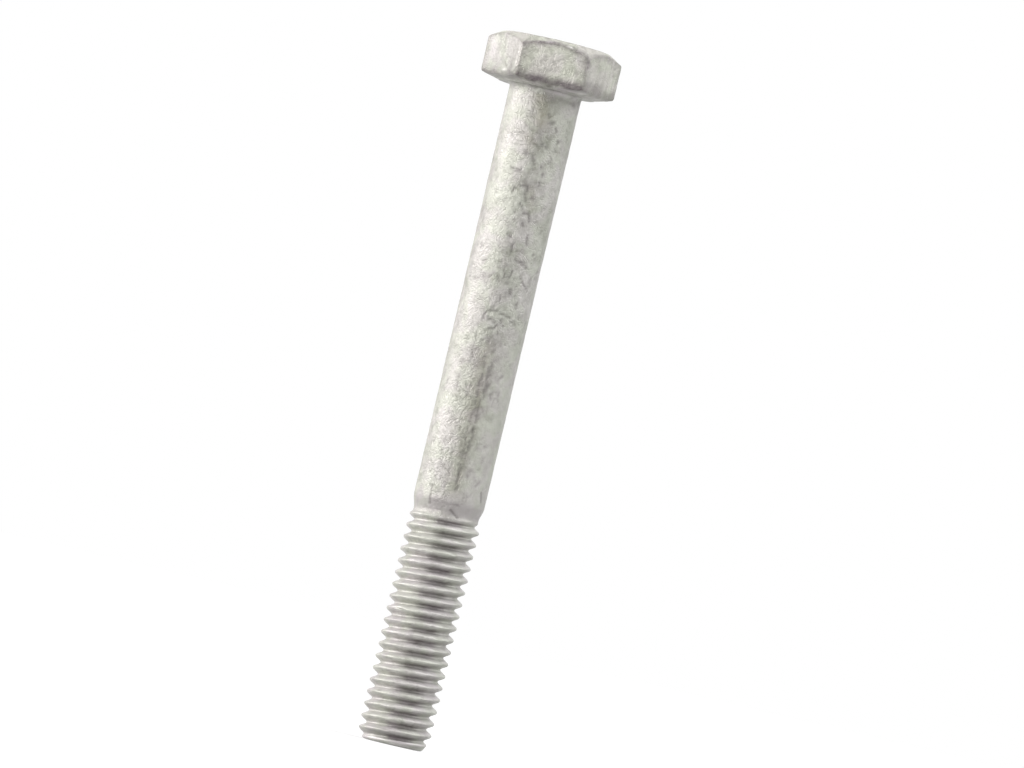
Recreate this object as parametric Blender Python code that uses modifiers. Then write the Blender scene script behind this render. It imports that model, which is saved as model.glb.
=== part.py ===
"""An M6 x 55 hex head bolt: part threaded, hot-dip galvanised, at its real size.

Frame: metres, +Z up. The bolt stands on its tip. The origin is the centre of the flat tip end, +Z runs up
the axis to the head, and two of the six wrench flats face -Y and +Y.

The bolt is one solid, because the real one is headed and thread-rolled from a single length of wire. It is
built in the same order: a turned blank, the hex head, the thread and the chamfered tip. Every size includes
the zinc coat.
"""

import math

import bmesh
import bpy
from mathutils import Matrix

# Bolt
BOLT_LENGTH = 0.055  # from the bearing face under the head to the tip
SHANK_DIAMETER = 0.00595  # the plain, unthreaded part

# Head
ACROSS_FLATS = 0.0098
HEAD_HEIGHT = 0.0040  # from the bearing face to the top, washer face included
HEAD_EDGE_ROUNDING = 0.00024  # width on each face, at the six corners and round the lower edge
TOP_CHAMFER_INSET = 0.00045  # the top circle lies this far inside the flats
TOP_CHAMFER_ANGLE = math.radians(30)  # from the flat top
WASHER_FACE_INSET = 0.00045  # the rim of the washer face lies this far inside the flats
WASHER_FACE_HEIGHT = 0.0004
WASHER_FACE_CHAMFER = 0.0001  # on the rim of the washer face
HEAD_FILLET_RADIUS = 0.0003  # between the shank and the bearing face

# Thread: right-hand, ISO metric basic profile
THREAD_DIAMETER = 0.00594  # over the crests
THREAD_PITCH = 0.001
THREAD_LENGTH = 0.018  # from the tip to the last full turn
THREAD_START = 0.00033  # height of the first crest on the +X side
THREAD_RUNOUT = 0.001  # length over which the thread fades out into the blank
NECK_LENGTH = 0.0015  # the cone from the rolling blank up to the shank

# Tip
TIP_CHAMFER_DEPTH = 0.0005  # measured inwards from the crests
TIP_CHAMFER_ANGLE = math.radians(30)  # from the axis

# Fineness of the round shapes
TURN_STEPS = 36  # facets round the shank and in each turn of the thread
HEAD_STEPS = 72  # facets round the head's top chamfer
FILLET_STEPS = 4
EDGE_STEPS = 3
SMOOTH_ANGLE = math.radians(28)  # an edge sharper than this is shaded as a sharp one

# How far one shape runs into another that it is joined to, and how near two points are to be one
JOINT_OVERLAP = 0.001
MERGE_DISTANCE = 1e-6

ZINC_COLOUR = (0.50, 0.51, 0.50, 1.0)
ZINC_ROUGHNESS = 0.45
ZINC_METALLIC = 0.9

# ISO metric thread form: a triangle of height H with H/8 cut from the crest and H/4 from the root
HALF_FLANK_ANGLE = math.radians(30)
FORM_HEIGHT = THREAD_PITCH / (2 * math.tan(HALF_FLANK_ANGLE))
THREAD_DEPTH = FORM_HEIGHT * (1 - 1 / 8 - 1 / 4)
CREST_WIDTH = THREAD_PITCH / 8

CREST_RADIUS = THREAD_DIAMETER / 2
ROOT_RADIUS = CREST_RADIUS - THREAD_DEPTH
BLANK_RADIUS = CREST_RADIUS - THREAD_DEPTH / 2  # rolling lowers the root as much as it raises the crest
SHANK_RADIUS = SHANK_DIAMETER / 2

BEARING_HEIGHT = BOLT_LENGTH
HEX_BOTTOM = BEARING_HEIGHT + WASHER_FACE_HEIGHT
HEAD_TOP = BEARING_HEIGHT + HEAD_HEIGHT
FLAT_RADIUS = ACROSS_FLATS / 2
CORNER_RADIUS = FLAT_RADIUS / math.cos(math.pi / 6)
WASHER_FACE_RADIUS = FLAT_RADIUS - WASHER_FACE_INSET
TOP_CIRCLE_RADIUS = FLAT_RADIUS - TOP_CHAMFER_INSET
RUNOUT_END = THREAD_LENGTH + THREAD_RUNOUT

FACET_OFFSET = math.tau / TURN_STEPS / 3  # turns the joined shapes so that no two have facets edge to edge


def clear_scene():
    for obj in list(bpy.data.objects):
        bpy.data.objects.remove(obj)


def new_collection(name):
    collection = bpy.data.collections.new(name)
    bpy.context.scene.collection.children.link(collection)
    return collection


def galvanised_steel():
    material = bpy.data.materials.new("galvanised_steel")
    material.use_nodes = True
    shader = material.node_tree.nodes["Principled BSDF"]
    shader.inputs["Base Color"].default_value = ZINC_COLOUR
    shader.inputs["Roughness"].default_value = ZINC_ROUGHNESS
    shader.inputs["Metallic"].default_value = ZINC_METALLIC
    material.diffuse_color = ZINC_COLOUR
    return material


def wire_object(name, collection, outline):
    """An object with only the edges of an outline, given as (radius, height) pairs in the XZ plane."""
    points = [(radius, 0, height) for radius, height in outline]
    edges = [(i, i + 1) for i in range(len(points) - 1)]
    mesh = bpy.data.meshes.new(name)
    mesh.from_pydata(points, edges, [])
    obj = bpy.data.objects.new(name, mesh)
    collection.objects.link(obj)
    return obj


def turned(name, collection, outline, steps):
    """A solid turned about Z. The outline starts and ends on the axis and runs down the outer side."""
    obj = wire_object(name, collection, outline)
    turn = obj.modifiers.new("turn", "SCREW")
    turn.axis = "Z"
    turn.steps = steps
    turn.render_steps = steps
    turn.use_merge_vertices = True
    turn.merge_threshold = MERGE_DISTANCE
    return obj


def as_helper(obj):
    """Marks a shape that only joins or cuts another, so that it is neither rendered nor built."""
    obj.hide_render = True
    obj.display_type = "WIRE"
    return obj


def evaluated_mesh(obj):
    graph = bpy.context.evaluated_depsgraph_get()
    return bpy.data.meshes.new_from_object(obj.evaluated_get(graph))


def fillet_outline():
    """The quarter round from the bearing face down to the shank, as (radius, height) pairs."""
    centre_radius = SHANK_RADIUS + HEAD_FILLET_RADIUS
    centre_height = BEARING_HEIGHT - HEAD_FILLET_RADIUS
    outline = []
    for step in range(FILLET_STEPS + 1):
        angle = math.pi / 2 * (1 + step / FILLET_STEPS)
        radius = centre_radius + HEAD_FILLET_RADIUS * math.cos(angle)
        height = centre_height + HEAD_FILLET_RADIUS * math.sin(angle)
        outline.append((radius, height))
    return outline


def blank(collection):
    """Washer face, fillet, shank and neck, turned in one piece, with a cone that the thread runs out into."""
    inside_head = HEX_BOTTOM + JOINT_OVERLAP
    cone_slope = (BLANK_RADIUS - ROOT_RADIUS) / THREAD_RUNOUT
    cone_end_radius = ROOT_RADIUS - JOINT_OVERLAP * cone_slope
    outline = [
        (0, inside_head),
        (WASHER_FACE_RADIUS, inside_head),
        (WASHER_FACE_RADIUS, BEARING_HEIGHT + WASHER_FACE_CHAMFER),
        (WASHER_FACE_RADIUS - WASHER_FACE_CHAMFER, BEARING_HEIGHT),
    ]
    outline += fillet_outline()
    outline += [
        (SHANK_RADIUS, RUNOUT_END + NECK_LENGTH),
        (BLANK_RADIUS, RUNOUT_END),
        (cone_end_radius, THREAD_LENGTH - JOINT_OVERLAP),
        (0, THREAD_LENGTH - JOINT_OVERLAP),
    ]
    return turned("hex_bolt", collection, outline, TURN_STEPS)


def top_chamfer_form(collection):
    """A turned body that is flat on top with a conical shoulder, and keeps clear of the hex below that."""
    clear_radius = CORNER_RADIUS + JOINT_OVERLAP
    shoulder_drop = (clear_radius - TOP_CIRCLE_RADIUS) * math.tan(TOP_CHAMFER_ANGLE)
    outline = [
        (0, HEAD_TOP),
        (TOP_CIRCLE_RADIUS, HEAD_TOP),
        (clear_radius, HEAD_TOP - shoulder_drop),
        (clear_radius, BEARING_HEIGHT - JOINT_OVERLAP),
        (0, BEARING_HEIGHT - JOINT_OVERLAP),
    ]
    return as_helper(turned("top_chamfer_form", collection, outline, HEAD_STEPS))


def hex_head(collection):
    """A hexagonal prism with rounded corners and lower edge, whose top is chamfered to a circle."""
    uncut_top = HEAD_TOP + JOINT_OVERLAP
    depth = uncut_top - HEX_BOTTOM
    middle = (uncut_top + HEX_BOTTOM) / 2
    corners_on_x = Matrix.Rotation(math.pi / 6, 4, "Z")
    prism = bmesh.new()
    bmesh.ops.create_cone(
        prism,
        cap_ends=True,
        segments=6,
        radius1=CORNER_RADIUS,
        radius2=CORNER_RADIUS,
        depth=depth,
        matrix=Matrix.Translation((0, 0, middle)) @ corners_on_x,
    )
    mesh = bpy.data.meshes.new("hex_head")
    prism.to_mesh(mesh)
    prism.free()
    head = bpy.data.objects.new("hex_head", mesh)
    collection.objects.link(head)

    rounding = head.modifiers.new("rounded_edges", "BEVEL")
    rounding.width = HEAD_EDGE_ROUNDING
    rounding.segments = EDGE_STEPS
    rounding.limit_method = "ANGLE"

    chamfer = head.modifiers.new("top_chamfer", "BOOLEAN")
    chamfer.operation = "INTERSECT"
    chamfer.object = top_chamfer_form(collection)
    return as_helper(head)


def thread_section():
    """One pitch of the thread in a plane through the axis: flank, crest, flank and the root up to the next."""
    half_crest = CREST_WIDTH / 2
    half_ridge = half_crest + THREAD_DEPTH * math.tan(HALF_FLANK_ANGLE)
    return [
        (ROOT_RADIUS, -half_ridge),
        (CREST_RADIUS, -half_crest),
        (CREST_RADIUS, half_crest),
        (ROOT_RADIUS, half_ridge),
        (ROOT_RADIUS, THREAD_PITCH - half_ridge),
    ]


def close_ends(shape):
    """Closes each open end of a body about Z with a fan of faces to a new point on the axis."""
    open_edges = {edge for edge in shape.edges if edge.is_boundary}
    while open_edges:
        loop = [open_edges.pop()]
        for edge in loop:
            neighbours = {near for vertex in edge.verts for near in vertex.link_edges}
            loop.extend(neighbours & open_edges)
            open_edges -= neighbours
        heights = [vertex.co.z for edge in loop for vertex in edge.verts]
        middle = shape.verts.new((0, 0, sum(heights) / len(heights)))
        for edge in loop:
            shape.faces.new((*edge.verts, middle))


def crest_reach(height):
    """How far out the thread may reach: the full crest, then in along a cone to the root."""
    past_last_turn = max(0.0, height - THREAD_LENGTH)
    return max(CREST_RADIUS - THREAD_DEPTH * past_last_turn / THREAD_RUNOUT, ROOT_RADIUS)


def threaded_rod(collection):
    """The thread and its core: one pitch swept up a right-hand helix, past the tip and into the neck."""
    turns_below_tip = math.ceil(THREAD_START / THREAD_PITCH + 1)
    lowest = THREAD_START - turns_below_tip * THREAD_PITCH
    turns = math.ceil((RUNOUT_END - lowest) / THREAD_PITCH)
    section = [(radius, lowest + rise) for radius, rise in thread_section()]
    rod = wire_object("threaded_rod", collection, section)
    helix = rod.modifiers.new("helix", "SCREW")
    helix.axis = "Z"
    helix.screw_offset = THREAD_PITCH
    helix.iterations = turns
    helix.steps = TURN_STEPS
    helix.render_steps = TURN_STEPS
    rod.data = evaluated_mesh(rod)
    rod.modifiers.clear()

    shape = bmesh.new()
    shape.from_mesh(rod.data)
    bmesh.ops.remove_doubles(shape, verts=shape.verts, dist=MERGE_DISTANCE)
    for vertex in shape.verts:
        radius = vertex.co.xy.length
        vertex.co.xy *= min(radius, crest_reach(vertex.co.z)) / radius
    close_ends(shape)
    bmesh.ops.recalc_face_normals(shape, faces=shape.faces)
    shape.to_mesh(rod.data)
    shape.free()
    rod.rotation_euler.z = FACET_OFFSET
    return as_helper(rod)


def tip_cutter(collection):
    """A turned cup that faces the tip off flat at the origin and chamfers the first turns of the thread."""
    tip_radius = CREST_RADIUS - TIP_CHAMFER_DEPTH
    cup_radius = CREST_RADIUS + THREAD_PITCH
    cup_height = (cup_radius - tip_radius) / math.tan(TIP_CHAMFER_ANGLE)
    cup_bottom = -4 * THREAD_PITCH  # clear of the uncut end of the rod
    outline = [
        (0, 0),
        (tip_radius, 0),
        (cup_radius, cup_height),
        (cup_radius, cup_bottom),
        (0, cup_bottom),
    ]
    cutter = turned("tip_cutter", collection, outline, TURN_STEPS)
    cutter.rotation_euler.z = 2 * FACET_OFFSET
    return as_helper(cutter)


def combine(obj, operation, other):
    """Joins the other shape to the object, or cuts it away."""
    step = obj.modifiers.new(other.name, "BOOLEAN")
    step.operation = operation
    step.object = other
    step.solver = "EXACT"


def shade_by_angle(obj):
    """Shades the finished body smooth, apart from its sharp edges."""
    tree = bpy.data.node_groups.new("shade_by_angle", "GeometryNodeTree")
    tree.interface.new_socket("Body", in_out="INPUT", socket_type="NodeSocketGeometry")
    tree.interface.new_socket("Body", in_out="OUTPUT", socket_type="NodeSocketGeometry")
    body_in = tree.nodes.new("NodeGroupInput")
    body_out = tree.nodes.new("NodeGroupOutput")
    edge_angle = tree.nodes.new("GeometryNodeInputMeshEdgeAngle")
    is_gentle = tree.nodes.new("FunctionNodeCompare")
    is_gentle.operation = "LESS_THAN"
    is_gentle.inputs["B"].default_value = SMOOTH_ANGLE
    smooth_faces = tree.nodes.new("GeometryNodeSetShadeSmooth")
    smooth_faces.domain = "FACE"
    smooth_edges = tree.nodes.new("GeometryNodeSetShadeSmooth")
    smooth_edges.domain = "EDGE"
    tree.links.new(edge_angle.outputs["Unsigned Angle"], is_gentle.inputs["A"])
    tree.links.new(is_gentle.outputs["Result"], smooth_edges.inputs["Shade Smooth"])
    tree.links.new(body_in.outputs["Body"], smooth_faces.inputs["Geometry"])
    tree.links.new(smooth_faces.outputs["Geometry"], smooth_edges.inputs["Geometry"])
    tree.links.new(smooth_edges.outputs["Geometry"], body_out.inputs["Body"])
    obj.modifiers.new("shade_by_angle", "NODES").node_group = tree


def main():
    clear_scene()
    parts = new_collection("hex_bolt")
    helpers = new_collection("joined_and_cut_shapes")
    bolt = blank(parts)
    combine(bolt, "UNION", hex_head(helpers))
    combine(bolt, "UNION", threaded_rod(helpers))
    combine(bolt, "DIFFERENCE", tip_cutter(helpers))
    shade_by_angle(bolt)
    bolt.data.materials.append(galvanised_steel())


main()
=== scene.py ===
# %% [markdown]
# # A hot-dip galvanised hex bolt, from the rolled thread to the forged head
#
# The bolt starts as one steel bar. A press forges the six-sided head, two dies roll the
# thread into the thinner end, and the whole bolt is then dipped in molten zinc. So it is one
# piece of metal, and this lesson builds it as one closed surface: the threaded stem is wound
# like the thread itself, the head is built ring by ring on top of it, and a coat of zinc
# gives both their fine lumps, their grey clouds and their handling marks.

# %% Start from the measured part
import bpy
import bmesh
import math
import numpy as np
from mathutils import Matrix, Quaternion, Vector


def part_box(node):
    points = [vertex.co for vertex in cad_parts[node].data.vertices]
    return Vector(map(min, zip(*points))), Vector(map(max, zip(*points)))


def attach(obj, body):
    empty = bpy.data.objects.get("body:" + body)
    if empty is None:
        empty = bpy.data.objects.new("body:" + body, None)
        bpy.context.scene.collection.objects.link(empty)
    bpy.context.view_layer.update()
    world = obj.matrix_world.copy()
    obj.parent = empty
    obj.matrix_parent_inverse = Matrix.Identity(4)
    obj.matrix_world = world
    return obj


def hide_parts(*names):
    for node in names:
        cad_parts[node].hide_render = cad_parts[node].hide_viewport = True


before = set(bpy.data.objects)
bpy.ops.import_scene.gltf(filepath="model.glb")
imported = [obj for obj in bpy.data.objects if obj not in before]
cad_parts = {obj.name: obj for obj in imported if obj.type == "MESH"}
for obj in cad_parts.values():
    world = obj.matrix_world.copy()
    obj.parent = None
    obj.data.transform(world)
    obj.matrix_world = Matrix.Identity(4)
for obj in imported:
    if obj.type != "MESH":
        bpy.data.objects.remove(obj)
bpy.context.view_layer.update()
MM = 0.001
BOX_LOW, BOX_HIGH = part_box("hex_bolt")
HEAD_TOP = BOX_HIGH.z

# %% [markdown]
# ## Where we stand
#
# A small object is usually looked at through a long lens from a little way off, which keeps
# its sides nearly parallel. Here the camera stands about level with the thread, so it looks
# slightly up under the head, and it is rolled a little, so that the bolt leans to the right in
# the frame. The bolt itself stays upright on its flat tip, which is easier to build and to
# measure.

# %% The camera
CAMERA_PLACE = Vector((-7.30, -699.9, 14.0)) * MM
CAMERA_AIM = Vector((2.80, 0.0, 30.97)) * MM
CAMERA_ROLL = math.radians(13.26)
CAMERA_FOCAL = 300.8

camera_data = bpy.data.cameras.new("studio_camera")
camera_data.lens = CAMERA_FOCAL
camera_data.sensor_width = 36.0
camera_data.clip_start = 0.01
camera = bpy.data.objects.new("studio_camera", camera_data)
camera.location = CAMERA_PLACE
facing = (CAMERA_AIM - CAMERA_PLACE).to_track_quat("-Z", "Y")
camera.rotation_euler = (facing @ Quaternion((0, 0, 1), CAMERA_ROLL)).to_euler()
bpy.context.scene.collection.objects.link(camera)
bpy.context.scene.camera = camera
print("The camera stands", round(-CAMERA_PLACE.y / MM), "mm in front of the bolt")

# %% [markdown]
# ## Sums written with nodes
#
# Both Geometry Nodes and materials work with small nodes that are wired together. Wiring each
# sum by hand hides the formula. So what a node gives out is wrapped here in an Output, which
# can be added, multiplied and so on like a plain number: each sum adds the Math node for it.

# %% Arithmetic with nodes
class Output:
    """What a node gives out. Sums with it add Math nodes to its tree."""

    def __init__(self, tree, socket):
        self.tree = tree
        self.socket = socket

    def __add__(self, other):
        return maths("ADD", self, other)

    def __radd__(self, other):
        return maths("ADD", other, self)

    def __sub__(self, other):
        return maths("SUBTRACT", self, other)

    def __rsub__(self, other):
        return maths("SUBTRACT", other, self)

    def __mul__(self, other):
        return maths("MULTIPLY", self, other)

    def __truediv__(self, other):
        return maths("DIVIDE", self, other)


def add_node(tree, kind, values=None, give=0, **settings):
    """Adds a node, gives its inputs their values or links, and hands back one of its outputs."""
    node = tree.nodes.new(kind)
    for name, value in settings.items():
        setattr(node, name, value)
    for name, value in (values or {}).items():
        if isinstance(value, Output):
            tree.links.new(value.socket, node.inputs[name])
        else:
            node.inputs[name].default_value = value
    return Output(tree, node.outputs[give]) if node.outputs else None


def maths(operation, *values):
    """One Math node, worked out from its values, of which at least one is an Output."""
    tree = next(value.tree for value in values if isinstance(value, Output))
    return add_node(tree, "ShaderNodeMath", dict(enumerate(values)), operation=operation)


def ramp_between(value, low, high, to_low=0.0, to_high=1.0, kind="SMOOTHSTEP"):
    """Eases a value from to_low to to_high while it goes from low to high."""
    ends = {"Value": value, "From Min": low, "From Max": high, "To Min": to_low, "To Max": to_high}
    return add_node(value.tree, "ShaderNodeMapRange", ends, interpolation_type=kind)


def empty_tree(owner):
    """The node tree of a material or of the world, cleared for us to fill."""
    owner.use_nodes = True
    owner.node_tree.nodes.clear()
    return owner.node_tree


print("Node helpers are ready")

# %% [markdown]
# ## The studio
#
# The bolt stands on a plain white floor in white surroundings. Metal looks the way its
# surroundings look, so the white room matters more than the lamps: the world is white for the
# camera and for reflections, and a plain level for everything else. Four soft lamps then give
# the zinc its direction: the main one at the left, a small one at the front left, a wide one at
# the right, and a weak one over the head.

# %% The floor
FLOOR_SIZE = 3.0
# The floor lies a hair under the flat tip, so that the two surfaces don't coincide.
FLOOR_DROP = 0.02 * MM
FLOOR_PALENESS = 0.45
# How brightly the floor glows near the bolt and far from it, and at what distances, in metres.
GLOW_NEAR, GLOW_FAR = 0.60, 0.97
GLOW_START, GLOW_END = 0.1, 0.7
floor_mesh = bpy.data.meshes.new("studio_floor")
half = FLOOR_SIZE / 2
floor_corners = [(-half, -half, 0), (half, -half, 0), (half, half, 0), (-half, half, 0)]
floor_mesh.from_pydata(floor_corners, [], [(0, 1, 2, 3)])
floor = bpy.data.objects.new("studio_floor", floor_mesh)
bpy.context.scene.collection.objects.link(floor)
floor.location.z = -FLOOR_DROP


def background_share(tree):
    """1 for rays that should see the plain white background: camera, reflections, glass."""
    rays = ("Is Camera Ray", "Is Glossy Ray", "Is Transmission Ray")
    camera_ray, shiny_ray, glass_ray = [add_node(tree, "ShaderNodeLightPath", give=ray) for ray in rays]
    return maths("MAXIMUM", maths("MAXIMUM", camera_ray, shiny_ray), glass_ray)


floor_paint = bpy.data.materials.new("studio_floor_paint")
tree = empty_tree(floor_paint)
grey = (FLOOR_PALENESS, FLOOR_PALENESS, FLOOR_PALENESS, 1)
matt = add_node(tree, "ShaderNodeBsdfDiffuse", {"Color": grey})
own = add_node(tree, "ShaderNodeTexCoord", give="Object")
distance = add_node(tree, "ShaderNodeVectorMath", {0: own}, give="Value", operation="LENGTH")
lift = ramp_between(distance, GLOW_START, GLOW_END, GLOW_NEAR, GLOW_FAR)
glow = add_node(tree, "ShaderNodeEmission", {"Strength": background_share(tree) * lift})
both = add_node(tree, "ShaderNodeAddShader", {0: matt, 1: glow})
add_node(tree, "ShaderNodeOutputMaterial", {"Surface": both})
floor_mesh.materials.append(floor_paint)
print("The floor is", FLOOR_SIZE, "m wide")

# %% The white room
ROOM_LEVEL = 0.19
world = bpy.data.worlds.new("white_room")
bpy.context.scene.world = world
tree = empty_tree(world)
strength = ramp_between(background_share(tree), 0.0, 1.0, ROOM_LEVEL, 1.0, "LINEAR")
light = add_node(tree, "ShaderNodeBackground", {"Color": (1, 1, 1, 1), "Strength": strength})
add_node(tree, "ShaderNodeOutputWorld", {"Surface": light})
print("The room lights the bolt at", ROOM_LEVEL, "and shows as white")

# %% The soft lamps
MIDDLE = Vector((0.0, 0.0, HEAD_TOP / 2))


def soft_lamp(name, place, width, height, watts, colour):
    """A rectangular soft box, turned towards the middle of the bolt."""
    data = bpy.data.lights.new(name, "AREA")
    data.shape = "RECTANGLE"
    data.size = width
    data.size_y = height
    data.energy = watts
    data.color = colour
    lamp = bpy.data.objects.new(name, data)
    lamp.location = place
    lamp.rotation_euler = (MIDDLE - Vector(place)).to_track_quat("-Z", "Y").to_euler()
    bpy.context.scene.collection.objects.link(lamp)
    print("Lamp", name, "at", [round(value, 2) for value in place], "m gives", watts, "W")


soft_lamp("main_soft_box", (-0.432, 0.0, 0.160), 0.30, 0.26, 2.15, (1.0, 0.975, 0.985))
soft_lamp("front_soft_box", (-0.274, -0.351, 0.092), 0.22, 0.15, 0.95, (1.0, 0.985, 0.985))
soft_lamp("side_soft_box", (0.381, -0.081, 0.255), 0.42, 0.30, 1.35, (0.98, 0.99, 1.0))
soft_lamp("top_soft_box", (0.100, -0.060, 0.460), 0.25, 0.25, 0.9, (1.0, 1.0, 1.0))

# %% [markdown]
# ## The stem, wound like its thread
#
# A rolled thread is one groove that climbs 1 mm a turn. A stack of rings can't follow it: the
# crest would cross the rings and come out ragged. So the surface is a long ribbon, one pitch
# wide, wound round the axis so that each turn meets the last one. Its rows then run along the
# crest, the flanks and the root, wherever the thread goes. Above the thread the same ribbon
# goes on as the plain shank, and below it the ribbon winds inwards and closes the flat tip.
#
# Because this shape follows a rule, Geometry Nodes make it: each point's place is worked out
# from its number alone, and the sizes are named inputs of the tree.

# %% Sizes of the stem
PITCH = 1.0 * MM
SHANK_RADIUS = 2.955 * MM
SHOULDER_SWELL = 0.04 * MM
SWELL_START, SWELL_END = 42.0 * MM, 50.0 * MM
FIRST_CREST = 0.37 * MM
NECK_TOP = 20.5 * MM
STEM_TOP = 54.4 * MM
# Steps in a turn, rows across the ribbon, and how much further apart the rows lie on the shank.
AROUND = 168
ROWS_PER_TURN = 12
ROW_STRETCH = 1.9
SPARE_TURNS = 3
SHANK_TURNS = (STEM_TOP - NECK_TOP) / (ROW_STRETCH * PITCH)
TURNS = math.ceil(NECK_TOP / PITCH + SHANK_TURNS) + SPARE_TURNS
stem_sizes = {
    "Pitch": PITCH,
    "Crest Radius": 3.00 * MM,
    "Root Radius": 2.465 * MM,
    "Blank Radius": 2.71 * MM,
    "Shank Radius": SHANK_RADIUS,
    "Shoulder Swell": SHOULDER_SWELL,
    "First Crest": FIRST_CREST,
    "Run-out Start": 18.65 * MM,
    "Run-out End": 19.3 * MM,
    "Neck Top": NECK_TOP,
    "Tip Radius": 2.47 * MM,
    "Tip Spread": 0.67 * MM,
    "Tip Rounding": 0.16 * MM,
    "Stem Top": STEM_TOP,
    "Around": AROUND,
    "Turns": TURNS,
}
print("The ribbon makes", TURNS, "turns of", AROUND, "steps")

# %% A tree with named inputs
def new_geometry_tree(name, inputs, takes_mesh):
    """An empty Geometry Nodes tree with named number inputs, and those inputs as Outputs."""
    tree = bpy.data.node_groups.new(name, "GeometryNodeTree")
    if takes_mesh:
        tree.interface.new_socket("Mesh", in_out="INPUT", socket_type="NodeSocketGeometry")
    for label, value in inputs.items():
        kind = "NodeSocketInt" if isinstance(value, int) else "NodeSocketFloat"
        socket = tree.interface.new_socket(label, in_out="INPUT", socket_type=kind)
        socket.default_value = value
    tree.interface.new_socket("Mesh", in_out="OUTPUT", socket_type="NodeSocketGeometry")
    given = tree.nodes.new("NodeGroupInput").outputs
    return tree, {socket.name: Output(tree, socket) for socket in given}


def end_tree(geometry, material):
    """Ends a tree the way the export needs: instances made real, and a material on every face."""
    tree = geometry.tree
    real = add_node(tree, "GeometryNodeRealizeInstances", {0: geometry})
    finished = add_node(tree, "GeometryNodeSetMaterial", {0: real, "Material": material})
    add_node(tree, "NodeGroupOutput", {0: finished})


def run_tree(obj, tree, inputs):
    """Runs the tree as a modifier with these inputs and returns the result as a plain mesh."""
    modifier = obj.modifiers.new(tree.name, "NODES")
    modifier.node_group = tree
    for item in tree.interface.items_tree:
        if item.in_out == "INPUT" and item.name in inputs:
            modifier[item.identifier] = inputs[item.name]
    evaluated = obj.evaluated_get(bpy.context.evaluated_depsgraph_get())
    result = bpy.data.meshes.new_from_object(evaluated)
    obj.modifiers.clear()
    return result


def remember(geometry, name, value):
    """Stores a number on every point, under a name that the zinc finish can read later."""
    values = {0: geometry, "Name": name, "Value": value}
    kind = "GeometryNodeStoreNamedAttribute"
    return add_node(geometry.tree, kind, values, data_type="FLOAT", domain="POINT")


print("Tree helpers are ready")

# %% The wound stem
zinc = bpy.data.materials.new("galvanised_zinc")
stem_tree, size = new_geometry_tree("wound_stem", stem_sizes, takes_mesh=False)
steps = size["Around"] * size["Turns"]
grid = {"Vertices X": steps + 1, "Vertices Y": ROWS_PER_TURN + 1}
ribbon = add_node(stem_tree, "GeometryNodeMeshGrid", grid)

# A point's number gives the step it lies on along the ribbon, and its row across it.
number = add_node(stem_tree, "GeometryNodeInputIndex")
step = maths("FLOOR", (number + 0.5) / (ROWS_PER_TURN + 1))
even = (number - step * (ROWS_PER_TURN + 1)) / ROWS_PER_TURN
# Rows crowd together at the crest and the root, where the surface bends most.
CROWDING = 0.5
across = even - maths("SINE", even * (4 * math.pi)) * (CROWDING / (4 * math.pi))
# The ribbon starts two turns below the first crest, so that there is some to close the tip with.
TURNS_BELOW = 2.0
turn = step / size["Around"]
level = size["First Crest"] + (turn + across - TURNS_BELOW) * size["Pitch"]

# Below the tip's edge the ribbon winds inwards, and above the neck its rows spread out.
inward = maths("SMOOTH_MIN", level, 0.0, size["Tip Rounding"])
above = maths("SMOOTH_MAX", level, 0.0, size["Tip Rounding"])
past_neck = maths("MAXIMUM", level - size["Neck Top"], 0.0)
height = maths("MINIMUM", above + past_neck * (ROW_STRETCH - 1.0), size["Stem Top"])

# The thread's section: 60 degrees between flanks, crest and root rounded by the zinc.
CREST_HALF_WIDTH = 0.105 * MM
FLANK_SLOPE = math.tan(math.radians(60))
CREST_SOFTNESS = 0.20 * MM
ROOT_SOFTNESS = 0.14 * MM
from_crest = maths("MINIMUM", across, 1.0 - across) * size["Pitch"]
flank = size["Crest Radius"] - (from_crest - CREST_HALF_WIDTH) * FLANK_SLOPE
thread = maths("SMOOTH_MAX", flank, size["Root Radius"], ROOT_SOFTNESS)
thread = maths("SMOOTH_MIN", thread, size["Crest Radius"], CREST_SOFTNESS)

# Above the thread: the blank's diameter, a short cone, the shank, and a slight swell.
to_shank = ramp_between(height, size["Run-out End"], size["Neck Top"])
shank = size["Shank Radius"] + ramp_between(height, SWELL_START, SWELL_END, 0.0, size["Shoulder Swell"])
plain = (shank - size["Blank Radius"]) * to_shank + size["Blank Radius"]
run_out = ramp_between(height, size["Run-out Start"], size["Run-out End"])
threaded = 1.0 - run_out
radius = thread * threaded + plain * run_out

# The tip: a 30 degree chamfer, and a flat that the ribbon closes at the centre. Whatever comes
# nearer to the axis than the closed radius lies on the axis.
TIP_SLOPE = math.tan(math.radians(30))
TIP_BLEND = 0.05 * MM
CLOSED_RADIUS = 0.16 * MM
chamfer = size["Tip Radius"] + height * TIP_SLOPE
flat = inward * (size["Tip Radius"] / size["Tip Spread"])
radius = maths("SMOOTH_MIN", radius, chamfer + flat, TIP_BLEND)
radius = radius * maths("GREATER_THAN", radius, CLOSED_RADIUS)

angle = turn * (2 * math.pi)
sides = {"X": radius * maths("COSINE", angle), "Y": radius * maths("SINE", angle), "Z": height}
spot = add_node(stem_tree, "ShaderNodeCombineXYZ", sides)

# What the zinc needs to know later: where the thread is, and how deep in a groove a point lies.
groove = (size["Crest Radius"] - thread) / (size["Crest Radius"] - size["Root Radius"])
shape = remember(ribbon, "threaded", threaded)
shape = remember(shape, "groove", groove * threaded)
wound = add_node(stem_tree, "GeometryNodeSetPosition", {"Geometry": shape, "Position": spot})
# Where two turns meet, their points become one.
MEETING_DISTANCE = 0.002 * MM
joined = add_node(stem_tree, "GeometryNodeMergeByDistance", {0: wound, "Distance": MEETING_DISTANCE})
end_tree(joined, zinc)

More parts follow.
